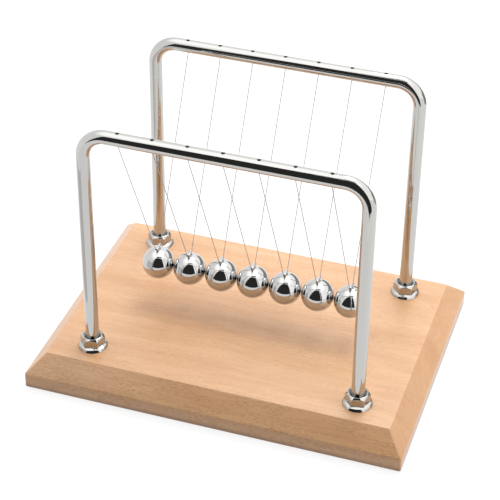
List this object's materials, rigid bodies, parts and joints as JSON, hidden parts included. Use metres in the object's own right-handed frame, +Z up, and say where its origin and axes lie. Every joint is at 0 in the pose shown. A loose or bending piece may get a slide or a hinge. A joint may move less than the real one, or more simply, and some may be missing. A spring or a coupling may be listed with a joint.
{
  "type": "newtons cradle",
  "caption": "Desk toy in which polished steel balls hang in a row on V-shaped lines between chromed rod frames on a bevelled wooden board.",
  "frame": {"origin": "on the surface that the cradle stands on, under the middle of the board", "axes": "+X along the row of balls, from ball_1 to ball_7; +Y from the front frame to the rear frame; +Z up"},
  "size_m": [0.231, 0.1676, 0.1738],
  "materials": {
    "wood": "satin-lacquered beech, grain along X",
    "rod_chrome": "bright chrome plate",
    "nut_chrome": "bright chrome plate",
    "zinc_steel": "bright zinc plate",
    "ball_chrome": "mirror polish",
    "hanger_chrome": "polished",
    "line_nylon": "drawn nylon, slightly clear",
    "knot_black": "matte black",
    "foot_rubber": "matte black rubber"
  },
  "bodies": {
    "stand": {"base_board": "wood", "front_frame": "rod_chrome", "rear_frame": "rod_chrome", "flange_nut_front_left": "nut_chrome", "washer_front_left": "zinc_steel", "hex_nut_front_left": "zinc_steel", "foot_front_left": "foot_rubber", "flange_nut_front_right": "nut_chrome", "washer_front_right": "zinc_steel", "hex_nut_front_right": "zinc_steel", "foot_front_right": "foot_rubber", "flange_nut_rear_right": "nut_chrome", "washer_rear_right": "zinc_steel", "hex_nut_rear_right": "zinc_steel", "foot_rear_right": "foot_rubber", "flange_nut_rear_left": "nut_chrome", "washer_rear_left": "zinc_steel", "hex_nut_rear_left": "zinc_steel", "foot_rear_left": "foot_rubber", "line_knot_front_1": "knot_black", "line_knot_front_2": "knot_black", "line_knot_front_3": "knot_black", "line_knot_front_4": "knot_black", "line_knot_front_5": "knot_black", "line_knot_front_6": "knot_black", "line_knot_front_7": "knot_black", "line_knot_rear_1": "knot_black", "line_knot_rear_2": "knot_black", "line_knot_rear_3": "knot_black", "line_knot_rear_4": "knot_black", "line_knot_rear_5": "knot_black", "line_knot_rear_6": "knot_black", "line_knot_rear_7": "knot_black"},
    "pendulum_1": {"ball_1": "ball_chrome", "hanger_1": "hanger_chrome", "line_1": "line_nylon"},
    "pendulum_2": {"ball_2": "ball_chrome", "hanger_2": "hanger_chrome", "line_2": "line_nylon"},
    "pendulum_3": {"ball_3": "ball_chrome", "hanger_3": "hanger_chrome", "line_3": "line_nylon"},
    "pendulum_4": {"ball_4": "ball_chrome", "hanger_4": "hanger_chrome", "line_4": "line_nylon"},
    "pendulum_5": {"ball_5": "ball_chrome", "hanger_5": "hanger_chrome", "line_5": "line_nylon"},
    "pendulum_6": {"ball_6": "ball_chrome", "hanger_6": "hanger_chrome", "line_6": "line_nylon"},
    "pendulum_7": {"ball_7": "ball_chrome", "hanger_7": "hanger_chrome", "line_7": "line_nylon"}
  },
  "joints": [
    {"name": "ball_1_swing", "type": "hinge", "parent": "stand", "child": "pendulum_1", "pos_m": [-0.0609, 0, 0.1655], "axis": [0, -1, 0], "range_deg": [-60, 0]},
    {"name": "ball_2_swing", "type": "hinge", "parent": "stand", "child": "pendulum_2", "pos_m": [-0.0406, 0, 0.1655], "axis": [0, -1, 0], "range_deg": [-0.07, 0.07]},
    {"name": "ball_3_swing", "type": "hinge", "parent": "stand", "child": "pendulum_3", "pos_m": [-0.0203, 0, 0.1655], "axis": [0, -1, 0], "range_deg": [-0.07, 0.07]},
    {"name": "ball_4_swing", "type": "hinge", "parent": "stand", "child": "pendulum_4", "pos_m": [0, 0, 0.1655], "axis": [0, -1, 0], "range_deg": [-0.07, 0.07]},
    {"name": "ball_5_swing", "type": "hinge", "parent": "stand", "child": "pendulum_5", "pos_m": [0.0203, 0, 0.1655], "axis": [0, -1, 0], "range_deg": [-0.07, 0.07]},
    {"name": "ball_6_swing", "type": "hinge", "parent": "stand", "child": "pendulum_6", "pos_m": [0.0406, 0, 0.1655], "axis": [0, -1, 0], "range_deg": [-0.07, 0.07]},
    {"name": "ball_7_swing", "type": "hinge", "parent": "stand", "child": "pendulum_7", "pos_m": [0.0609, 0, 0.1655], "axis": [0, -1, 0], "range_deg": [0, 60]}
  ]
}
